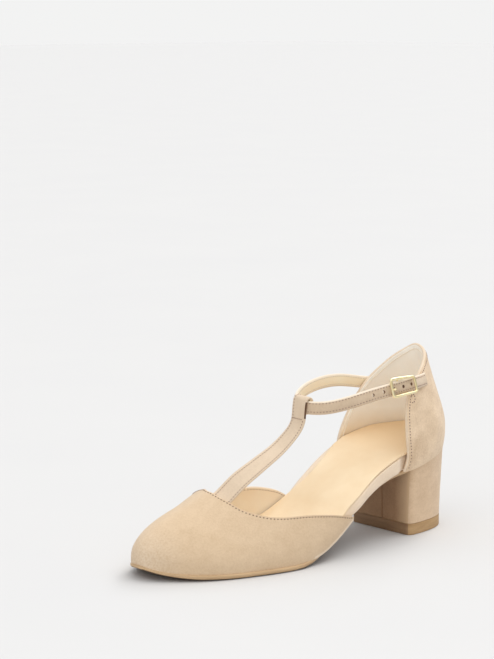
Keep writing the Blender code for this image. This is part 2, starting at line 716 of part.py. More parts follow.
def buckle_frame_axes():
    """Where the buckle sits, and its ways: along the strap to the back, up, and out."""
    path = ankle_path()
    i = int(np.linalg.norm(path - np.array(BUCKLE_AT), axis=1).argmin())
    along = path[i + 1] - path[i - 1]
    along /= np.linalg.norm(along)
    up = ankle_ups(path)[i]
    up -= along * (up @ along)
    up /= np.linalg.norm(up)
    return path[i], along, up, np.cross(along, up)


BUCKLE_CENTRE, BUCKLE_ALONG, BUCKLE_UP, BUCKLE_OUT = buckle_frame_axes()
FRAME_STAND = ANKLE_THICK / 2 + GAP + BUCKLE_WIRE / 2
BAR_STAND = -3.1
PRONG_HOLE = -7.0


def by_buckle(along, up, out):
    return BUCKLE_CENTRE + along * BUCKLE_ALONG + up * BUCKLE_UP + out * BUCKLE_OUT


def add_ankle_strap(finish):
    """The strap round the ankle, with its row of holes."""
    path = ankle_path()
    ups = ankle_ups(path)
    strap = add_ribbon("ankle_strap", path, ups, ANKLE_WIDTH, ANKLE_THICK, finish)
    lengths = np.concatenate([[0], np.cumsum(np.linalg.norm(np.diff(path, axis=0), axis=1))])
    at_buckle = lengths[int(np.linalg.norm(path - BUCKLE_CENTRE, axis=1).argmin())]
    for number in range(HOLE_COUNT):
        at = at_buckle + PRONG_HOLE + HOLE_SPACING * (number - HOLE_COUNT // 2)
        spot = np.array([np.interp(at, lengths, path[:, k]) for k in range(3)])
        ahead = np.array([np.interp(at + 1, lengths, path[:, k]) for k in range(3)]) - spot
        out = np.cross(ahead, ups[int(np.abs(lengths - at).argmin())])
        out /= np.linalg.norm(out)
        through = [spot - 3 * out, spot, spot + 3 * out]
        rings = tube_rings(through, HOLE_WIDTH / 2, closed=False, sides=10)
        cut(strap, add_loft(f"hole_{number + 1}", rings, finish), "DIFFERENCE")
    return strap


def cut(piece, tool, operation):
    """Let a tool body shape a piece."""
    PARTS.objects.unlink(tool)
    CUTTERS.objects.link(tool)
    tool.hide_render = True
    tool.display_type = "WIRE"
    boolean = piece.modifiers.new(tool.name, "BOOLEAN")
    boolean.operation = operation
    boolean.solver = "EXACT"
    boolean.object = tool


def add_buckle(finish):
    """A flat rounded frame with a hidden centre bar that dips behind the strap."""
    half_l = (BUCKLE_LENGTH - BUCKLE_WIRE) / 2
    half_h = (BUCKLE_HEIGHT - BUCKLE_WIRE) / 2
    loop = []
    for quarter in range(4):
        sa = 1 if quarter in (0, 3) else -1
        su = 1 if quarter < 2 else -1
        for a in np.radians(np.linspace(0, 90, 4) + 90 * quarter):
            loop.append(by_buckle(
                sa * (half_l - BUCKLE_CORNER) + BUCKLE_CORNER * math.cos(a),
                su * (half_h - BUCKLE_CORNER) + BUCKLE_CORNER * math.sin(a),
                FRAME_STAND,
            ))
    rings = tube_rings(loop, BUCKLE_WIRE / 2, closed=True)
    faces = strip_faces(len(rings) + 1, 8, closed=True)
    faces = [tuple(i % (8 * len(rings)) for i in face) for face in faces]
    frame = add_piece("buckle_frame", np.vstack(rings), faces, finish)
    face_outwards(frame)
    dip = [
        (0, half_h, FRAME_STAND), (0, half_h, 0.0), (0, half_h, BAR_STAND + 0.8),
        (0, half_h - 0.25, BAR_STAND + 0.25), (0, half_h - 0.8, BAR_STAND), (0, 0, BAR_STAND),
    ]
    dip += [(a, -u, n) for a, u, n in dip[-2::-1]]
    rings = tube_rings([by_buckle(*p) for p in dip], BAR_WIRE / 2, closed=False)
    cut(frame, add_loft("centre_bar", rings, finish), "UNION")
    return frame


def add_prong(finish):
    """The pin: hooked round the bar, under the strap, up through a hole onto the frame's front."""
    grip = BAR_WIRE / 2 + 0.2 + PRONG_WIRE / 2
    hook = [
        (grip * math.cos(a), 0.0, BAR_STAND + grip * math.sin(a))
        for a in np.radians(np.linspace(205, 450, 12))
    ]
    shaft = [
        (-2.6, 0, -1.95), (-4.6, 0, -2.15), (-5.8, 0, -2.0), (-6.6, 0, -1.1), (-6.95, 0, 0.2),
        (-7.2, 0, 1.8), (-7.8, 0, 3.1), (-9.1, 0, 3.8), (-10.7, 0, 3.95),
    ]
    path = [by_buckle(*p) for p in hook + shaft]
    return add_loft("buckle_prong", tube_rings(path, PRONG_WIRE / 2, closed=False), finish)


def add_tab(finish):
    """The short strap that holds the buckle: sewn inside the counter, folded round the bar."""
    inside = -(COUNTER_WALL + GAP + TAB_THICK / 2 + 0.15)
    sewn_at = ((6.0, 47.0), (12.0, 48.2), (17.5, 49.4), (21.0, 50.4))
    sewn = [beside_counter(x, 1, height, inside) for x, height in sewn_at]
    turn = BAR_WIRE / 2 + 0.35 + TAB_THICK / 2
    fold = [
        by_buckle(turn * math.cos(a), 0, BAR_STAND + turn * math.sin(a))
        for a in np.radians(np.linspace(285, 90, 12))
    ]
    tail = [by_buckle(1.2, 0, BAR_STAND + turn), by_buckle(2.6, 0, BAR_STAND + turn - 0.2)]
    lead = by_buckle(1.5, 0, BAR_STAND - turn - 0.4)
    path = np.vstack([smooth_path(sewn + [lead], 14), fold, tail])
    tab = add_ribbon("buckle_tab", path, BUCKLE_UP, TAB_WIDTH, TAB_THICK, finish)
    rings = [
        [by_buckle(a, u, n) for u, n in ((0.9, -1.0), (0.9, -6.5), (-0.9, -6.5), (-0.9, -1.0))]
        for a in (-3.0, 1.9)
    ]
    cut(tab, add_loft("prong_slot", np.array(rings), finish), "DIFFERENCE")
    return tab


def clear_scene():
    for old in list(bpy.data.objects):
        bpy.data.objects.remove(old)


clear_scene()
PARTS = bpy.data.collections.new("strap_pump")
CUTTERS = bpy.data.collections.new("cutters")
bpy.context.scene.collection.children.link(PARTS)
bpy.context.scene.collection.children.link(CUTTERS)
SHOE = bpy.data.objects.new("shoe", None)
PARTS.objects.link(SHOE)

# Colour, roughness and metallic value of each finish
SUEDE = ((0.66, 0.50, 0.36), 0.9, 0.0)
LEATHER = ((0.83, 0.66, 0.46), 0.55, 0.0)
RUBBER = ((0.50, 0.36, 0.20), 0.6, 0.0)
GOLD = ((0.86, 0.70, 0.38), 0.25, 1.0)

add_outsole(material("outsole_rubber", *RUBBER))
add_footbed(material("footbed_suede", *SUEDE))
add_sock(material("sock_leather", *LEATHER))
add_vamp(material("vamp_suede", *SUEDE))
add_counter(material("counter_suede", *SUEDE))
add_heel(material("heel_suede", *SUEDE))
add_top_piece(material("top_piece_rubber", *RUBBER))
add_t_strap(material("t_strap_suede", *SUEDE))
add_ankle_strap(material("ankle_strap_suede", *SUEDE))
add_tab(material("tab_suede", *SUEDE))
add_buckle(material("frame_gold", *GOLD))
add_prong(material("prong_gold", *GOLD))
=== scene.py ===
import math

import bmesh
import bpy
from mathutils import Matrix, Vector
from mathutils.bvhtree import BVHTree


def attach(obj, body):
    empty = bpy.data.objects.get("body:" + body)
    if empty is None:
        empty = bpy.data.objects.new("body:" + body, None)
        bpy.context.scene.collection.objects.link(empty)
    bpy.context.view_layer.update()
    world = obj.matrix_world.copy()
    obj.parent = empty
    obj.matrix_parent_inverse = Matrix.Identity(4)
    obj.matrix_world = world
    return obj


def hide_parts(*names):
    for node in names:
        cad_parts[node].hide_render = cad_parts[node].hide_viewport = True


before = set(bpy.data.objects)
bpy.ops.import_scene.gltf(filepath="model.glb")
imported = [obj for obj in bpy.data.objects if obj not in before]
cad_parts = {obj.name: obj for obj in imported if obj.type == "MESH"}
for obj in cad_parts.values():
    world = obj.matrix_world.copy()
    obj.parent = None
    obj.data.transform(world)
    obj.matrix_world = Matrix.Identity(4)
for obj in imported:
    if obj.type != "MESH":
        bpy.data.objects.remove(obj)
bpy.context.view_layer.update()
mm = 0.001
print("frame loaded,", len(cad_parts), "nodes")


# looks

def tint(red, green, blue):  # screen colour, 0 to 255, to the linear one that shaders take
    def linear(value):
        value /= 255
        return value / 12.92 if value <= 0.04045 else ((value + 0.055) / 1.055) ** 2.4
    return (linear(red), linear(green), linear(blue), 1.0)


class Wire:  # one socket of a node tree; arithmetic on it adds Math nodes
    def __init__(self, tree, socket=None):
        self.tree = tree
        self.socket = socket

    def node(self, kind, settings, inputs, out=0):
        made = self.tree.nodes.new("ShaderNode" + kind)
        for key, value in settings.items():
            setattr(made, key, value)
        for key, value in inputs.items():
            if isinstance(value, Wire):
                self.tree.links.new(value.socket, made.inputs[key])
            else:
                made.inputs[key].default_value = value
        return Wire(self.tree, made.outputs[out] if made.outputs else None)

    def maths(self, operation, first, second):
        return self.node("Math", {"operation": operation}, {0: first, 1: second})

    def __add__(self, other):
        return self.maths("ADD", self, other)

    def __radd__(self, other):
        return self.maths("ADD", other, self)

    def __sub__(self, other):
        return self.maths("SUBTRACT", self, other)

    def __rsub__(self, other):
        return self.maths("SUBTRACT", other, self)

    def __mul__(self, other):
        return self.maths("MULTIPLY", self, other)

    def __rmul__(self, other):
        return self.maths("MULTIPLY", other, self)

    def stretched(self, scale):
        return self.node("Mapping", {}, {"Vector": self, "Scale": scale})

    def noise(self, scale, detail, distortion=0.0, roughness=0.6):
        return self.node("TexNoise", {}, {"Vector": self, "Scale": scale, "Detail": detail,
                                          "Roughness": roughness, "Distortion": distortion})

    def spread(self, low, high):  # stretches low..high to 0..1
        return self.node("MapRange", {"clamp": True}, {0: self, 1: low, 2: high, 3: 0.0, 4: 1.0})

    def blend(self, low, high):  # low colour where this is 0, high where it is 1
        return self.node("Mix", {"data_type": "RGBA"}, {0: self, 6: low, 7: high}, 2)


def startLook(name):  # a bare material, its node maker and its object coordinates
    look = bpy.data.materials.new(name)
    look.use_nodes = True
    look.node_tree.nodes.clear()
    wire = Wire(look.node_tree)
    return look, wire, wire.node("TexCoord", {}, {}, "Object")


def closeLook(look, wire, height, settings, sockets):
    bump = wire.node("Bump", {}, {"Height": height, "Strength": settings["bump"],
                                  "Distance": settings["depth"] * mm})
    shader = wire.node("BsdfPrincipled", {}, {**sockets, "Normal": bump})
    wire.node("OutputMaterial", {}, {"Surface": shader})
    return look


# fades a colour along an axis; every use in this script paints shade
def fadeTo(wire, place, colour, axis, start, end, wearAndShade):  # another colour further along an axis, in mm
    along = wire.node("SeparateXYZ", {}, {0: place}, axis)
    return along.spread(start * mm, end * mm).blend(colour, tint(*wearAndShade))


# noises in the finishes below: scale, detail, distortion
suedeSet = {
    "nap": (150, 3, 0.5), "napStretch": (0.6, 1.0, 1.0),  # laid over in patches of about 7 mm
    "cloud": (55, 2), "fleck": (850, 2), "fibre": (2100, 3),
    "even": (0.3, 0.7), "fine": (0.5, 0.8), "ground": 0.17,
    "napShare": 0.3, "fleckShare": 0.35, "fibreShare": 0.35,
    "rubbed": (238, 226, 212), "rubbedFleck": (0.3, 0.65), "rubbedShare": 0.35,
    "fibreBump": 0.6, "fleckBump": 0.4, "bump": 0.5, "depth": 0.5, "rough": 0.95, "gloss": 0.15,
    "sheen": 0.3, "sheenRough": 0.5, "sheenTint": (1.0, 0.96, 0.91, 1.0),
}


# scuff: middle and size in mm of a rubbed spot; shade: axis, start, end and colour of a fade that paints
# shade
def suede(name, light, dark, mottle=0.2, scuff=None, shade=None):
    look, wire, place = startLook(name)
    nap = place.stretched(suedeSet["napStretch"]).noise(*suedeSet["nap"])
    cloud = place.noise(*suedeSet["cloud"])
    fleck = place.noise(*suedeSet["fleck"])
    fibre = place.noise(*suedeSet["fibre"])
    tone = nap.spread(*suedeSet["even"]) * suedeSet["napShare"] + cloud.spread(*suedeSet["even"]) * mottle
    tone = tone + fleck.spread(*suedeSet["even"]) * suedeSet["fleckShare"]
    tone = tone + (suedeSet["ground"] - mottle / 2)
    colour = tone.blend(tint(*dark), tint(*light))
    colour = (fibre.spread(*suedeSet["fine"]) * suedeSet["fibreShare"]).blend(colour, tint(*dark))
    if scuff:
        spot, size = scuff
        away = wire.node("VectorMath", {"operation": "DISTANCE"},
                         {0: place, 1: Vector(spot) * mm}, "Value")
        wearAndShade = away.spread(size * mm, 0.0) * fleck.spread(*suedeSet["rubbedFleck"])
        colour = (wearAndShade * suedeSet["rubbedShare"]).blend(colour, tint(*suedeSet["rubbed"]))
    if shade:
        colour = fadeTo(wire, place, colour, *shade)
    grain = fibre * suedeSet["fibreBump"] + fleck * suedeSet["fleckBump"]
    return closeLook(look, wire, grain, suedeSet, {
        "Base Color": colour, "Roughness": suedeSet["rough"], "Specular IOR Level": suedeSet["gloss"],
        "Sheen Weight": suedeSet["sheen"], "Sheen Roughness": suedeSet["sheenRough"],
        "Sheen Tint": suedeSet["sheenTint"]})


leatherSet = {
    "pores": 1000, "crease": (420, 4, 0.4), "cloud": (34, 3),
    "even": (0.35, 0.65), "lines": (0.55, 0.8), "lineShare": 0.25,
    "poreBump": 0.5, "creaseBump": 0.5, "bump": 0.16, "depth": 0.4, "roughSpread": 0.16, "gloss": 0.35,
}


def leather(name, light, dark, rough, shade=None):
    look, wire, place = startLook(name)
    pores = wire.node("TexVoronoi", {}, {"Vector": place, "Scale": leatherSet["pores"]})
    crease = place.noise(*leatherSet["crease"])
    cloud = place.noise(*leatherSet["cloud"])
    colour = cloud.spread(*leatherSet["even"]).blend(tint(*dark), tint(*light))
    colour = (crease.spread(*leatherSet["lines"]) * leatherSet["lineShare"]).blend(colour, tint(*dark))
    if shade:
        colour = fadeTo(wire, place, colour, *shade)
    grain = pores * leatherSet["poreBump"] + crease * leatherSet["creaseBump"]
    return closeLook(look, wire, grain, leatherSet, {
        "Base Color": colour, "Roughness": crease * leatherSet["roughSpread"] + rough,
        "Specular IOR Level": leatherSet["gloss"]})


rubberSet = {
    "speck": (900, 3), "streak": (160, 3, 0.3), "streakStretch": (0.3, 0.3, 2.5),
    "even": (0.3, 0.7), "fine": (0.5, 0.8), "speckShare": 0.3,
    "speckBump": 0.6, "streakBump": 0.4, "bump": 0.2, "depth": 0.3, "roughSpread": 0.15, "gloss": 0.3,
}


def rubber(name, light, dark, rough):
    look, wire, place = startLook(name)
    speck = place.noise(*rubberSet["speck"])
    streak = place.stretched(rubberSet["streakStretch"]).noise(*rubberSet["streak"])
    colour = streak.spread(*rubberSet["even"]).blend(tint(*dark), tint(*light))
    colour = (speck.spread(*rubberSet["fine"]) * rubberSet["speckShare"]).blend(colour, tint(*dark))
    grain = speck * rubberSet["speckBump"] + streak * rubberSet["streakBump"]
    return closeLook(look, wire, grain, rubberSet, {
        "Base Color": colour, "Roughness": speck * rubberSet["roughSpread"] + rough,
        "Specular IOR Level": rubberSet["gloss"]})


platingSet = {
    "cloud": (300, 3), "scratch": (900, 2), "scratchStretch": (0.2, 1.0, 3.0), "even": (0.35, 0.65),
    "bump": 0.05, "depth": 0.2, "rough": 0.24, "roughSpread": 0.14,
}


def plating(name, light, dark):
    look, wire, place = startLook(name)
    cloud = place.noise(*platingSet["cloud"])
    scratch = place.stretched(platingSet["scratchStretch"]).noise(*platingSet["scratch"])
    colour = cloud.spread(*platingSet["even"]).blend(tint(*dark), tint(*light))
    return closeLook(look, wire, scratch, platingSet, {
        "Base Color": colour, "Metallic": 1.0,
        "Roughness": scratch * platingSet["roughSpread"] + platingSet["rough"]})


threadSet = {"strand": (2600, 2, 0.5), "even": (0.35, 0.65), "bump": 0.4, "depth": 0.2, "rough": 0.75}


def thread(name, light, dark):
    look, wire, place = startLook(name)
    strand = place.noise(*threadSet["strand"])
    colour = strand.spread(*threadSet["even"]).blend(tint(*dark), tint(*light))
    return closeLook(look, wire, strand, threadSet, {
        "Base Color": colour, "Roughness": threadSet["rough"]})


upperSuede = suede("beige_suede_upper", (228, 204, 174), (206, 179, 146), 0.22,
                   scuff=((201, -11.5, 13.2), 24.0))
counterSuede = suede("beige_suede_counter", (247, 223, 193), (208, 179, 146), 0.5)
strapSuede = suede("beige_suede_strap", (233, 213, 189), (214, 193, 168))
ankleSuede = suede("beige_suede_ankle", (224, 202, 176), (203, 180, 153))
heelSuede = suede("beige_suede_heel", (232, 205, 174), (205, 175, 142), 0.4)
# the breast gets a darker copy of the heel's suede: painted shade under the arch, fading back to the
# heel's colour towards the lateral corner
shadedBreastSuede = suede("beige_suede_breast_painted_shade", (187, 149, 115), (158, 122, 91), 0.35,
                    shade=("Y", 13, 25, (210, 180, 145)))
wrapSuede = suede("beige_suede_wrap", (250, 230, 206), (235, 212, 186))
foldSuede = suede("pale_suede_fold", (240, 222, 199), (224, 203, 178))
creamFold = suede("cream_strap_fold", (252, 240, 222), (240, 224, 202))
# dark brown for the T-strap loop's side edge: partly its raw cut edge, partly a painted shadow of the gap
# between the loop and the ankle strap
rawEdgeAndShadowSuede = suede("brown_raw_edge_and_painted_shadow", (120, 90, 68), (84, 60, 45))
holeBrown = suede("tan_punched_hole", (164, 130, 104), (126, 96, 74))
vampLining = leather("tan_lining", (255, 243, 222), (252, 235, 211), 0.5)
# the lining fades to tan towards its bottom: painted shade inside the counter
counterLining = leather("cream_lining_painted_shade", (255, 253, 246), (251, 245, 235), 0.55,
                        shade=("Z", 72, 55, (233, 208, 171)))
strapLining = leather("tan_strap_lining", (255, 243, 215), (254, 236, 206), 0.5)
# the sock fades darker towards the heel: painted shade inside the heel cup
sockLeather = leather("cream_sock_leather_painted_shade", (250, 229, 196), (244, 219, 182), 0.42,
                      shade=("X", 50, 0, (230, 198, 156)))
sockEdge = leather("tan_sock_edge", (206, 166, 118), (184, 143, 97), 0.5)
soleRubber = rubber("tan_sole", (214, 184, 145), (196, 164, 126), 0.5)
# dark brown rubber for the sole's underside: a painted contact shadow along the sole's lower edge
shadedTreadRubber = rubber("brown_tread_painted_shade", (128, 98, 72), (104, 78, 57), 0.6)
liftRubber = rubber("brown_heel_lift", (196, 162, 120), (172, 138, 96), 0.5)
# a darker copy of the lift's rubber for its front face: painted shade
shadedLiftFront = rubber("brown_heel_lift_front_painted_shade", (160, 128, 97), (134, 104, 77), 0.55)
paleGold = plating("pale_gold_plate", (255, 244, 206), (246, 229, 176))
darkThread = thread("mauve_brown_thread", (132, 101, 88), (98, 72, 62))
quarterThread = thread("mauve_thread", (172, 143, 128), (142, 114, 101))
strapThread = thread("mauve_tan_thread", (182, 155, 138), (154, 127, 112))
paleThread = thread("pale_thread", (224, 210, 192), (198, 182, 164))
pipingThread = thread("cream_piping_thread", (246, 237, 222), (233, 221, 202))
print("looks made,", len(bpy.data.materials), "materials")


# tools shared by the pieces

toolSet = {"weld": 0.002, "foldReach": 2.5}  # mm within which points merge; a fold's reach in its widths


def onlyActive(piece):
    if bpy.context.object and bpy.context.object.mode != "OBJECT":
        bpy.ops.object.mode_set(mode="OBJECT")
    bpy.ops.object.select_all(action="DESELECT")
    bpy.context.view_layer.objects.active = piece
    piece.select_set(True)


def pickParts(piece, kind, test):  # leaves the piece in edit mode with what passes the test selected
    onlyActive(piece)
    bpy.ops.object.mode_set(mode="EDIT")
    bpy.ops.mesh.select_mode(type=kind)
    bpy.ops.mesh.select_all(action="DESELECT")
    live = bmesh.from_edit_mesh(piece.data)
    for part in {"VERT": live.verts, "EDGE": live.edges, "FACE": live.faces}[kind]:
        if test(part):
            part.select_set(True)
    bmesh.update_edit_mesh(piece.data)


def copyNode(node, name):  # a merged copy of a CAD node with its quads back
    piece = bpy.data.objects.new(name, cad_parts[node].data.copy())
    bpy.context.scene.collection.objects.link(piece)
    onlyActive(piece)
    bpy.ops.mesh.customdata_custom_splitnormals_clear()
    bpy.ops.object.mode_set(mode="EDIT")
    bpy.ops.mesh.select_all(action="SELECT")
    bpy.ops.mesh.remove_doubles(threshold=toolSet["weld"] * mm)
    bpy.ops.mesh.tris_convert_to_quads(face_threshold=math.pi, shape_threshold=math.pi,
                                       topology_influence=2)
    bpy.ops.object.mode_set(mode="OBJECT")
    piece.data.materials.clear()
    return piece


def dress(piece, **looks):  # a material slot for each named look; gives the slots' numbers
    for look in looks.values():
        piece.data.materials.append(look)
    return {name: number for number, name in enumerate(looks)}


def patches(piece, turn):  # smooth stretches of faces between edges sharper than turn, largest first
    live = bmesh.new()
    live.from_mesh(piece.data)
    seen, found = set(), []
    for start in live.faces:
        if start.index in seen:
            continue
        seen.add(start.index)
        waiting, group = [start], []
        while waiting:
            face = waiting.pop()
            group.append(face)
            for edge in face.edges:
                if edge.calc_face_angle(math.pi) < math.radians(turn):
                    for other in edge.link_faces:
                        if other.index not in seen:
                            seen.add(other.index)
                            waiting.append(other)
        found.append((sum(face.calc_area() for face in group), [face.index for face in group]))
    live.free()
    return [faces for area, faces in sorted(found, reverse=True)]


def paint(piece, faces, slotNumber):
    for index in faces:
        piece.data.polygons[index].material_index = slotNumber


def paintWhere(piece, slotNumber, test):
    paint(piece, [face.index for face in piece.data.polygons if test(face)], slotNumber)


def creaseEdges(piece, turn, amount, wanted=lambda edge: True):  # among the edges sharper than turn
    pickParts(piece, "EDGE", lambda edge: edge.calc_face_angle(0) > math.radians(turn) and wanted(edge))
    bpy.ops.transform.edge_crease(value=amount)
    bpy.ops.object.mode_set(mode="OBJECT")


def applyModifier(piece, kind, **settings):
    onlyActive(piece)
    modifier = piece.modifiers.new(kind.lower(), kind)
    for key, value in settings.items():
        setattr(modifier, key, value)
    bpy.ops.object.modifier_apply(modifier=modifier.name)


def smooth(piece, levels, angle):
    if levels:
        applyModifier(piece, "SUBSURF", levels=levels, render_levels=levels)
    onlyActive(piece)
    bpy.ops.object.shade_smooth_by_angle(angle=math.radians(angle))


def shell(piece):
    mesh = piece.data
    return BVHTree.FromPolygons([v.co for v in mesh.vertices], [p.vertices[:] for p in mesh.polygons])


def seat(piece, node, slotName):
    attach(piece, "root")
    if node:
        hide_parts(node)


def lastedWall(piece, underside, settings):  # creases a wall of the upper and draws it down on the sole
    underFaces = set(underside)

    def onUnderside(edge):
        return any(face.index in underFaces for face in edge.link_faces)

    creaseEdges(piece, settings["sharp"], settings["rimCrease"], lambda edge: not onUnderside(edge))
    creaseEdges(piece, settings["sharp"], settings["soleCrease"], onUnderside)
    pickParts(piece, "FACE", lambda face: face.index in underFaces)
    bpy.ops.transform.translate(value=(0, 0, -settings["reachDown"] * mm))
    bpy.ops.object.mode_set(mode="OBJECT")


def foldSkin(piece, folds):  # soft troughs (depth under 0) and ridges: start, end, width, depth in mm
    normals = [v.normal.copy() for v in piece.data.vertices]
    for start, end, width, depth in folds:
        a, b = Vector(start) * mm, Vector(end) * mm
        run = b - a
        for vertex, normal in zip(piece.data.vertices, normals):
            share = (vertex.co - a).dot(run) / run.length_squared
            near = a + run * min(max(share, 0), 1)
            gap = (vertex.co - near).length / (width * mm)
            if gap < toolSet["foldReach"]:
                vertex.co += normal * depth * mm * math.exp(-gap * gap)


# stitching

stitchSet = {"length": 1.05, "width": 0.6, "sides": 8, "straight": 0.6, "endFaces": 0.9,
             "tip": 0.25, "dip": 0.18, "lift": 0.05, "corner": 50}  # degrees of a corner that ends a row


def modelStitch(length):  # one stitch lying along X, its ends dipping into the leather
    bpy.ops.object.select_all(action="DESELECT")
    straight = length * stitchSet["straight"] * mm
    bpy.ops.mesh.primitive_cylinder_add(vertices=stitchSet["sides"], radius=stitchSet["width"] / 2 * mm,
                                        depth=straight, rotation=(0, math.pi / 2, 0))
    model = bpy.context.object
    bpy.ops.object.transform_apply(location=True, rotation=True, scale=True)
    tipReach = (length * mm - straight) / 2
    for way in (-1, 1):
        pickParts(model, "FACE", lambda face: face.normal.x * way > stitchSet["endFaces"])
        bpy.ops.mesh.extrude_region_move(TRANSFORM_OT_translate={
            "value": (way * tipReach, 0, -stitchSet["dip"] * mm)})
        bpy.ops.transform.resize(value=(1, stitchSet["tip"], stitchSet["tip"]))
    bpy.ops.object.mode_set(mode="OBJECT")
    bpy.ops.object.shade_smooth()
    return model


def sewRow(name, spots, look, slotName, length=stitchSet["length"]):  # spots: place, direction, normal
    model = modelStitch(length)
    live = bmesh.new()
    for place, direction, normal in spots:
        first = len(live.verts)
        live.from_mesh(model.data)
        side = normal.cross(direction).normalized()
        ahead = side.cross(normal)
        turn = Matrix((ahead, side, normal)).transposed().to_4x4()
        live.verts.ensure_lookup_table()
        bmesh.ops.transform(live, matrix=Matrix.Translation(place) @ turn, verts=live.verts[first:])
    mesh = bpy.data.meshes.new(name)
    live.to_mesh(mesh)
    live.free()
    mesh.materials.append(look)
    row = bpy.data.objects.new(name, mesh)
    bpy.context.scene.collection.objects.link(row)
    bpy.data.objects.remove(model)
    seat(row, None, slotName)


def runLength(run):
    return sum((b[0] - a[0]).length for a, b in zip(run, run[1:]))


def borderRuns(piece, slotA, slotB, shortest=0):  # edges between two finishes, longest run first
    live = bmesh.new()
    live.from_mesh(piece.data)
    links = {}
    for edge in live.edges:
        slots = [face.material_index for face in edge.link_faces]
        if sorted(slots) == sorted((slotA, slotB)):
            inner = [face for face in edge.link_faces if face.material_index == slotA][0]
            for vertex, other in (edge.verts, reversed(edge.verts)):
                links.setdefault(vertex, []).append((other, inner.calc_center_median()))
    ends = []
    for vertex, ways in links.items():
        if len(ways) == 2:
            before = (vertex.co - ways[0][0].co).normalized()
            after = (ways[1][0].co - vertex.co).normalized()
            if before.dot(after) < math.cos(math.radians(stitchSet["corner"])):
                ends.append(vertex)
        else:
            ends.append(vertex)
    used, runs = set(), []

    def walk(vertex, other):
        run = [vertex]
        while True:
            used.add(frozenset((vertex, other)))
            run.append(other)
            if other in ends:
                return run
            ahead = [way for way, centre in links[other] if frozenset((other, way)) not in used]
            if not ahead:
                return run
            vertex, other = other, ahead[0]

    for vertex in ends + list(links):
        for other, centre in links[vertex]:
            if frozenset((vertex, other)) not in used:
                runs.append(walk(vertex, other))
    result = []
    for run in runs:
        points = []  # each with the way in from the edge
        for vertex in run:
            pull = Vector()
            for other, centre in links[vertex]:
                pull += centre - (vertex.co + other.co) / 2
            points.append((vertex.co.copy(), pull.normalized()))
        result.append(points)
    live.free()
    return sorted([run for run in result if runLength(run) > shortest * mm], key=runLength, reverse=True)


def layOn(points, skin):  # points onto the nearest skin, each directed from neighbour to neighbour
    seats = [skin.find_nearest(point) for point in points]
    spots = []
    for k, (place, normal, face, gap) in enumerate(seats):
        before, after = seats[max(k - 1, 0)][0], seats[min(k + 1, len(seats) - 1)][0]
        spots.append((place + normal * stitchSet["lift"] * mm, (after - before).normalized(), normal))
    return spots


def spotsAlong(run, skin, pitch, inset, trim):  # mm; evenly spaced stitches beside an edge
    total = runLength(run)
    sewn = total - 2 * trim * mm
    count = int(sewn / (pitch * mm))
    wanted = [trim * mm + sewn * (k + 0.5) / count for k in range(count)]
    raw, gone, index = [], 0.0, 0
    for goal in wanted:
        while index < len(run) - 2 and gone + (run[index + 1][0] - run[index][0]).length < goal:
            gone += (run[index + 1][0] - run[index][0]).length
            index += 1
        (a, pullA), (b, pullB) = run[index], run[index + 1]
        share = (goal - gone) / (b - a).length
        ahead = (b - a).normalized()
        pull = pullA.lerp(pullB, share)
        pull = (pull - ahead * pull.dot(ahead)).normalized()
        raw.append(a.lerp(b, share) + pull * inset * mm)
    return layOn(raw, skin)


def rowsAlong(runs, skin, pitch, inset, trim):
    return [spot for run in runs for spot in spotsAlong(run, skin, pitch, inset, trim)]


def lineOf(start, end, pitch):  # points in mm along a straight line
    a, b = Vector(start) * mm, Vector(end) * mm
    count = max(2, round((b - a).length / (pitch * mm)))
    return [a.lerp(b, (k + 0.5) / count) for k in range(count)]


# vamp

vampSet = {
    "levels": 2, "sharp": 40, "shadeTo": 60,  # degrees: a patch ends at sharper edges, shading at shadeTo
    "rimCrease": 0.5, "soleCrease": 1.0, "reachDown": 0.9,
    "areas": ("outside", "lining", "underside", "topEdge", "frontEdge", "frontEdge"),  # largest first
    "pitch": 2.1, "inset": 1.1, "liningInset": 1.2, "trim": 1.0, "wingTo": 107, "wingRim": 1.5,
    "folds": [((128, 34, 10), (136, 20, 27), 6.0, -0.35), ((116, 36, 11), (122, 26, 24), 5.0, -0.3),
              ((122, 35, 10), (129, 23, 26), 4.0, 0.2), ((132, -46, 10), (138, -36, 26), 6.0, -0.35)],
}
vamp = copyNode("vamp", "vamp_upper")
vampSlot = dress(vamp, outside=upperSuede, lining=vampLining, topEdge=foldSuede, frontEdge=foldSuede,
                 underside=upperSuede)
vampPatch = patches(vamp, vampSet["sharp"])
for patch, area in zip(vampPatch, vampSet["areas"]):
    paint(vamp, patch, vampSlot[area])
lastedWall(vamp, vampPatch[vampSet["areas"].index("underside")], vampSet)
smooth(vamp, vampSet["levels"], vampSet["shadeTo"])
foldSkin(vamp, vampSet["folds"])
seat(vamp, "vamp", "beige_suede")
vampSkin = shell(vamp)
topline = borderRuns(vamp, vampSlot["outside"], vampSlot["topEdge"])[0]
wingEdge = [point for run in borderRuns(vamp, vampSlot["outside"], vampSlot["underside"])
            for point, pull in run if point.x < vampSet["wingTo"] * mm]
paintWhere(vamp, vampSlot["frontEdge"], lambda face: face.material_index == vampSlot["outside"]
           and min((face.center - point).length for point in wingEdge) < vampSet["wingRim"] * mm)
sewRow("vamp_stitching",
       spotsAlong(topline, vampSkin, vampSet["pitch"], vampSet["inset"], vampSet["trim"]),
       darkThread, "beige_suede")
innerLine = borderRuns(vamp, vampSlot["lining"], vampSlot["topEdge"])[0]
sewRow("vamp_lining_stitching",
       spotsAlong(innerLine, vampSkin, vampSet["pitch"], vampSet["liningInset"], vampSet["trim"]),
       strapThread, "cream_leather")
print("vamp done, topline", round(runLength(topline) / mm), "mm")


# counter

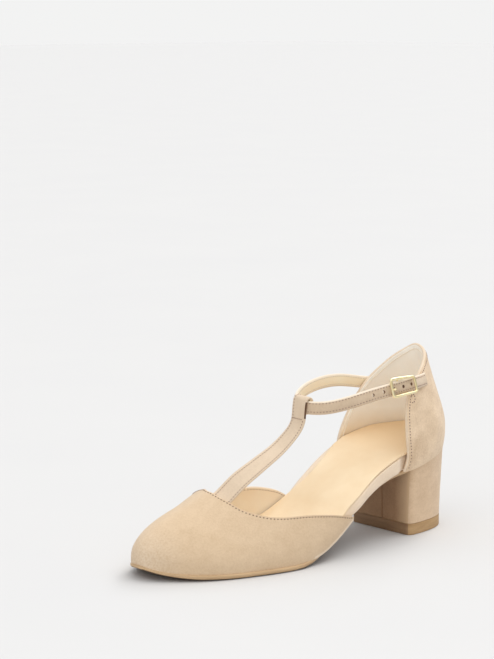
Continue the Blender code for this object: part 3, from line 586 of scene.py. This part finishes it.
counterSet = {
    "levels": 2, "sharp": 40, "shadeTo": 60, "rimCrease": 0.25, "soleCrease": 1.0, "reachDown": 0.25,
    "areas": ("outside", "lining", "topEdge", "outside"), "undersidePatch": 3,  # largest first
    "tongueFrom": (18.5, 20.0),  # X and Y past which the wall's points are the tongue's
    "tongue": [(46.0, 2.4), (50.5, 1.6)],  # below each height, how far ahead they move
    "shortest": 12, "trim": 2.0, "pitch": 1.9, "inset": 1.9,
    "innerPitch": 1.0, "innerLength": 1.5, "innerInset": 2.6, "boxPitch": 1.5,
    "tabBox": [((16.4, 27, 90.0), (12.8, 27, 90.8)), ((12.8, 27, 90.2), (13.0, 28, 86.6)),
               ((13.2, 28, 86.2), (16.6, 28, 85.6))],
    "folds": [((6, 30, 60), (2, 29, 84), 6.0, -0.3), ((-22, 22, 58), (-24, 18, 84), 7.0, -0.3),
              ((-6, 29, 56), (-12, 27, 80), 5.0, 0.25)],
}
counter = copyNode("counter", "counter_quarter")
counterSlot = dress(counter, outside=counterSuede, lining=counterLining, topEdge=foldSuede)
counterPatch = patches(counter, counterSet["sharp"])
for patch, area in zip(counterPatch, counterSet["areas"]):
    paint(counter, patch, counterSlot[area])
lastedWall(counter, counterPatch[counterSet["undersidePatch"]], counterSet)
frontX, outerY = counterSet["tongueFrom"]
for below, ahead in counterSet["tongue"]:  # the outer lower corner runs out over the footbed's side
    pickParts(counter, "VERT", lambda vertex: vertex.co.x > frontX * mm and vertex.co.y > outerY * mm
              and vertex.co.z < below * mm)
    bpy.ops.transform.translate(value=(ahead * mm, 0, 0))
bpy.ops.object.mode_set(mode="OBJECT")
smooth(counter, counterSet["levels"], counterSet["shadeTo"])
foldSkin(counter, counterSet["folds"])
seat(counter, "counter", "beige_suede")
counterSkin = shell(counter)
collar = borderRuns(counter, counterSlot["outside"], counterSlot["topEdge"], counterSet["shortest"])
tabBox = [spot for start, end in counterSet["tabBox"]
          for spot in layOn(lineOf(start, end, counterSet["boxPitch"]), counterSkin)]
collarRow = rowsAlong(collar, counterSkin, counterSet["pitch"], counterSet["inset"], counterSet["trim"])
sewRow("counter_stitching", tabBox + collarRow, quarterThread, "beige_suede")
innerCollar = borderRuns(counter, counterSlot["lining"], counterSlot["topEdge"], counterSet["shortest"])
innerRow = rowsAlong(innerCollar, counterSkin, counterSet["innerPitch"], counterSet["innerInset"],
                     counterSet["trim"])
sewRow("collar_lining_seam", innerRow, pipingThread, "cream_leather", counterSet["innerLength"])
print("counter done, collar", [round(runLength(run) / mm) for run in collar], "mm")


# T-strap

tStrapSet = {
    "levels": 1, "sharp": 25, "shadeTo": 60, "rimCrease": 0.5, "sideFaces": 0.5,
    # the loop's dark side edge below is partly raw edge, partly painted shadow
    "loopFrom": 80.5, "foldFrom": 91.8, "legFrom": 83.8,  # raw edge: from and to height, ahead of X
    "tailBehind": 84.15, "tailTo": 83.6, "tailWidth": 0.5, "tailSide": (82, -7.6, 83),
    "shortest": 40, "trim": 1.0, "pitch": 1.9, "insets": (1.5, 0.6),
    "cross": ((86.4, -6.1, 81.2), (86.3, 1.6, 81.0)), "crossPitch": 1.4,
}
tStrap = copyNode("t_strap", "t_strap")
tStrapSlot = dress(tStrap, outside=strapSuede, lining=strapLining, side=strapSuede, rawEdge=rawEdgeAndShadowSuede)
for number, patch in enumerate(patches(tStrap, tStrapSet["sharp"])):  # outside, lining, then sides
    paint(tStrap, patch, min(number, tStrapSlot["side"]))
# the loop's side facing +Y: raw edge and painted shadow in dark brown
paintWhere(tStrap, tStrapSlot["rawEdge"], lambda face: face.material_index == tStrapSlot["side"]
           and face.normal.y > tStrapSet["sideFaces"] and face.center.x > tStrapSet["legFrom"] * mm
           and tStrapSet["loopFrom"] * mm < face.center.z < tStrapSet["foldFrom"] * mm)
pickParts(tStrap, "VERT", lambda vertex: vertex.co.x < tStrapSet["tailBehind"] * mm
          and vertex.co.z < tStrapSet["tailTo"] * mm)
bpy.ops.transform.resize(value=(1, tStrapSet["tailWidth"], 1),  # the loop's tail tapers to its end
                         center_override=Vector(tStrapSet["tailSide"]) * mm)
bpy.ops.object.mode_set(mode="OBJECT")
creaseEdges(tStrap, tStrapSet["sharp"], tStrapSet["rimCrease"])
smooth(tStrap, tStrapSet["levels"], tStrapSet["shadeTo"])
seat(tStrap, "t_strap", "beige_suede")
tStrapSkin = shell(tStrap)
tStrapEdges = borderRuns(tStrap, tStrapSlot["outside"], tStrapSlot["side"], tStrapSet["shortest"])
tStrapRows = layOn(lineOf(*tStrapSet["cross"], tStrapSet["crossPitch"]), tStrapSkin)
for run, inset in zip(tStrapEdges, tStrapSet["insets"]):
    tStrapRows += spotsAlong(run, tStrapSkin, tStrapSet["pitch"], inset, tStrapSet["trim"])
sewRow("t_strap_stitching", tStrapRows, strapThread, "beige_suede")
print("T-strap done, edges", [round(runLength(run) / mm) for run in tStrapEdges], "mm")


# ankle strap

ankleSet = {
    "sharp": 40, "shadeTo": 50, "holeWall": 13.0,  # a punched hole's wall is smaller, in square mm
    "facesUp": 0.3, "tipTo": 18.0, "roll": 0.45, "rollSteps": 2,
    "shortest": 40, "trim": 1.0, "pitch": 2.0, "inset": 0.9,
}
ankle = copyNode("ankle_strap", "ankle_strap")
ankleSlot = dress(ankle, outside=ankleSuede, lining=strapLining, side=ankleSuede, hole=holeBrown,
                  fold=creamFold, tip=strapSuede)
for number, patch in enumerate(patches(ankle, ankleSet["sharp"])):  # outside, lining, sides, holes
    size = sum(ankle.data.polygons[index].area for index in patch)
    inHole = size < ankleSet["holeWall"] * mm * mm
    paint(ankle, patch, ankleSlot["hole"] if inHole else min(number, ankleSlot["side"]))
smooth(ankle, 0, ankleSet["shadeTo"])
seat(ankle, "ankle_strap", "beige_suede")
ankleSkin = shell(ankle)
ankleRows = [("ankle_strap_stitching", "outside", strapThread, "beige_suede"),
             ("ankle_strap_lining_stitching", "lining", paleThread, "cream_leather")]
for name, area, look, slotName in ankleRows:
    ankleEdges = borderRuns(ankle, ankleSlot[area], ankleSlot["side"], ankleSet["shortest"])
    sewRow(name, rowsAlong(ankleEdges, ankleSkin, ankleSet["pitch"], ankleSet["inset"], ankleSet["trim"]),
           look, slotName)
paintWhere(ankle, ankleSlot["fold"], lambda face: face.material_index == ankleSlot["side"]
           and face.normal.z > ankleSet["facesUp"])  # the folded upper edge
paintWhere(ankle, ankleSlot["tip"], lambda face: face.material_index == ankleSlot["outside"]
           and face.center.y > 0 and face.center.x < ankleSet["tipTo"] * mm)  # the brushed tip
rolled = [[ankleSlot[area], ankleSlot["fold"]] for area in ("outside", "lining")]
pickParts(ankle, "EDGE", lambda edge: sorted(face.material_index for face in edge.link_faces) in rolled)
bpy.ops.mesh.bevel(offset=ankleSet["roll"] * mm, segments=ankleSet["rollSteps"], affect="EDGES",
                   material=ankleSlot["fold"], clamp_overlap=False)
bpy.ops.object.mode_set(mode="OBJECT")
smooth(ankle, 0, ankleSet["shadeTo"])
print("ankle strap done, edges", [round(runLength(run) / mm) for run in ankleEdges], "mm")


# buckle

buckleSet = {"levels": 2, "tabShadeTo": 50, "shadeTo": 60, "fuller": 0.12,
             "taper": 0.09, "rise": 0.25, "tilt": 0.75}


def bendFrame(piece):  # the frame's wire stands taller and higher at its toe end
    points = piece.data.vertices
    middle = sum((vertex.co for vertex in points), Vector()) / len(points)
    reach = max(abs(vertex.co.x - middle.x) for vertex in points)
    slope = (sum((vertex.co.x - middle.x) * (vertex.co.z - middle.z) for vertex in points)
             / sum((vertex.co.x - middle.x) ** 2 for vertex in points))
    for vertex in points:
        ahead = vertex.co.x - middle.x
        share = ahead / reach
        above = vertex.co.z - middle.z - slope * ahead
        raised = (buckleSet["rise"] + buckleSet["tilt"] * share) * mm
        vertex.co.z += above * buckleSet["taper"] * share + raised


tab = copyNode("buckle_tab", "buckle_tab")
dress(tab, outside=ankleSuede)
smooth(tab, 0, buckleSet["tabShadeTo"])
seat(tab, "buckle_tab", "beige_suede")
for node in ("buckle_frame", "buckle_prong"):
    metal = copyNode(node, node + "_plated")
    dress(metal, plate=paleGold)
    smooth(metal, buckleSet["levels"], buckleSet["shadeTo"])
    pickParts(metal, "VERT", lambda vertex: True)
    bpy.ops.transform.shrink_fatten(value=buckleSet["fuller"] * mm)
    bpy.ops.object.mode_set(mode="OBJECT")
    if node == "buckle_frame":
        bendFrame(metal)
    seat(metal, node, "pale_gold")
print("buckle done")


# footbed and sock

bedSet = {"levels": 1, "sharp": 25, "shadeTo": 60, "rimCrease": 0.7, "sockFlats": 2}
bed = copyNode("footbed", "footbed_wrap")
dress(bed, wrap=wrapSuede)
creaseEdges(bed, bedSet["sharp"], bedSet["rimCrease"])
smooth(bed, bedSet["levels"], bedSet["shadeTo"])
seat(bed, "footbed", "beige_suede")
sock = copyNode("insole_sock", "insole_sock")
sockSlot = dress(sock, flat=sockLeather, side=sockEdge)
for number, patch in enumerate(patches(sock, bedSet["sharp"])):  # top and underside, then the cut side
    paint(sock, patch, sockSlot["flat" if number < bedSet["sockFlats"] else "side"])
creaseEdges(sock, bedSet["sharp"], bedSet["rimCrease"])
smooth(sock, bedSet["levels"], bedSet["shadeTo"])
seat(sock, "insole_sock", "cream_leather")
print("footbed done")


# sole, heel and top piece

heelSet = {
    "soleShadeTo": 60, "treadFaces": -0.5,
    "shadeTo": 40, "breastSharp": 25, "breastPatch": 3,  # the breast is the heel's fourth largest stretch
    "seamY": 1.8, "seamWidth": 1.1, "seamDepth": 0.6, "seamSteps": 2, "seamNear": 0.02, "seamAhead": 10.0,
    "frontFaces": 0.8, "edge": 0.35, "edgeSharp": 40, "edgeSteps": 2,
}
sole = copyNode("outsole", "outsole")
soleSlot = dress(sole, side=soleRubber, tread=shadedTreadRubber)
# painted shade: the downward faces of the sole take the dark brown rubber
paintWhere(sole, soleSlot["tread"], lambda face: face.normal.z < heelSet["treadFaces"])
smooth(sole, 0, heelSet["soleShadeTo"])
seat(sole, "outsole", "tan_rubber")
heel = copyNode("heel_block", "heel_cover")
heelSlot = dress(heel, cover=heelSuede, breast=shadedBreastSuede)
breast = set(patches(heel, heelSet["breastSharp"])[heelSet["breastPatch"]])
# painted shade: the breast takes the darker suede
paint(heel, breast, heelSlot["breast"])
pickParts(heel, "FACE", lambda face: face.index in breast)
bpy.ops.mesh.bisect(plane_co=(0, heelSet["seamY"] * mm, 0), plane_no=(0, 1, 0))
bpy.ops.mesh.bevel(offset=heelSet["seamWidth"] / 2 * mm, segments=heelSet["seamSteps"], affect="EDGES")
pickParts(heel, "VERT", lambda vertex: vertex.co.x > heelSet["seamAhead"] * mm
          and abs(vertex.co.y - heelSet["seamY"] * mm) < heelSet["seamNear"] * mm)
bpy.ops.transform.translate(value=(-heelSet["seamDepth"] * mm, 0, 0))  # the seam's groove
bpy.ops.object.mode_set(mode="OBJECT")
smooth(heel, 0, heelSet["shadeTo"])
seat(heel, "heel_block", "beige_suede")
lift = copyNode("top_piece", "heel_lift")
liftSlot = dress(lift, rim=liftRubber, front=shadedLiftFront)
# painted shade: the lift's front faces take the darker rubber
paintWhere(lift, liftSlot["front"], lambda face: face.normal.x > heelSet["frontFaces"])
applyModifier(lift, "BEVEL", width=heelSet["edge"] * mm, segments=heelSet["edgeSteps"],
              limit_method="ANGLE", angle_limit=math.radians(heelSet["edgeSharp"]))
smooth(lift, 0, heelSet["shadeTo"])
seat(lift, "top_piece", "tan_rubber")
print("sole and heel done")


# floor, light and camera

stageSet = {
    "floorSize": 30.0, "floorDrop": 0.2, "floor": (219, 219, 219), "floorDark": (216, 216, 217),
    "mottle": (6, 2), "grain": (400, 2), "bump": 0.02, "depth": 0.2, "rough": 0.7, "gloss": 0.2,
    "skyTint": (1.0, 1.0, 0.995, 1.0), "skyFrom": -0.05, "skyTo": 0.85,
    "horizon": 0.12, "zenith": 1.0, "shown": 0.895,
    # name, power, softness in degrees, where from, colour
    "suns": [("key_sun", 0.84, 40, (-0.4, 0.15, 0.9), (1.0, 1.0, 1.0)),
             ("back_sun", 0.56, 22, (-0.8, -0.28, 0.7), (1.0, 1.0, 1.0)),
             ("fill_sun", 0.74, 80, (0.73, 0.41, 0.55), (1.0, 0.965, 0.91))],
    "eyeTurn": 43.47, "eyeRise": 9.0, "eyeAway": 1.18, "aim": (0.13061, 0.0, 0.14093),  # metres
    "focalPixels": 2010.64, "imageWidth": 494, "sensor": 36.0,
}
bpy.ops.object.select_all(action="DESELECT")
bpy.ops.mesh.primitive_plane_add(size=stageSet["floorSize"], location=(0, 0, -stageSet["floorDrop"] * mm))
floor = bpy.context.object
floor.name = "studio_floor"
bpy.ops.object.transform_apply(location=True, rotation=True, scale=True)
floorLook, wire, place = startLook("pale_floor")
mottle = place.noise(*stageSet["mottle"])
floorColour = mottle.blend(tint(*stageSet["floor"]), tint(*stageSet["floorDark"]))
closeLook(floorLook, wire, place.noise(*stageSet["grain"]), stageSet, {
    "Base Color": floorColour, "Roughness": stageSet["rough"], "Specular IOR Level": stageSet["gloss"]})
dress(floor, paper=floorLook)

world = bpy.data.worlds.new("studio")
world.use_nodes = True
bpy.context.scene.world = world
world.node_tree.nodes.clear()
sky = Wire(world.node_tree)
seen = sky.node("LightPath", {}, {}, "Is Camera Ray")
height = sky.node("SeparateXYZ", {}, {0: sky.node("TexCoord", {}, {}, "Generated")}, "Z")
climb = height.spread(stageSet["skyFrom"], stageSet["skyTo"])
dome = climb * (stageSet["zenith"] - stageSet["horizon"]) + stageSet["horizon"]
glow = sky.node("Background", {}, {"Color": stageSet["skyTint"],
                                   "Strength": dome * (1 - seen) + seen * stageSet["shown"]})
sky.node("OutputWorld", {}, {"Surface": glow})

for name, power, soft, source, colour in stageSet["suns"]:
    sunData = bpy.data.lights.new(name, "SUN")
    sunData.energy = power
    sunData.color = colour
    sunData.angle = math.radians(soft)
    sun = bpy.data.objects.new(name, sunData)
    bpy.context.scene.collection.objects.link(sun)
    sun.rotation_euler = Vector(source).to_track_quat("Z", "Y").to_euler()

turn, rise = math.radians(stageSet["eyeTurn"]), math.radians(stageSet["eyeRise"])
back = Vector((math.sin(turn) * math.cos(rise), math.cos(turn) * math.cos(rise), math.sin(rise)))
eyeData = bpy.data.cameras.new("eye")
eyeData.sensor_fit = "HORIZONTAL"
eyeData.sensor_width = stageSet["sensor"]
eyeData.lens = stageSet["focalPixels"] / stageSet["imageWidth"] * stageSet["sensor"]
eye = bpy.data.objects.new("eye", eyeData)
bpy.context.scene.collection.objects.link(eye)
eye.location = Vector(stageSet["aim"]) + back * stageSet["eyeAway"]
eye.rotation_euler = back.to_track_quat("Z", "Y").to_euler()
bpy.context.scene.camera = eye
bpy.context.scene.view_settings.view_transform = "Standard"
print("stage set")
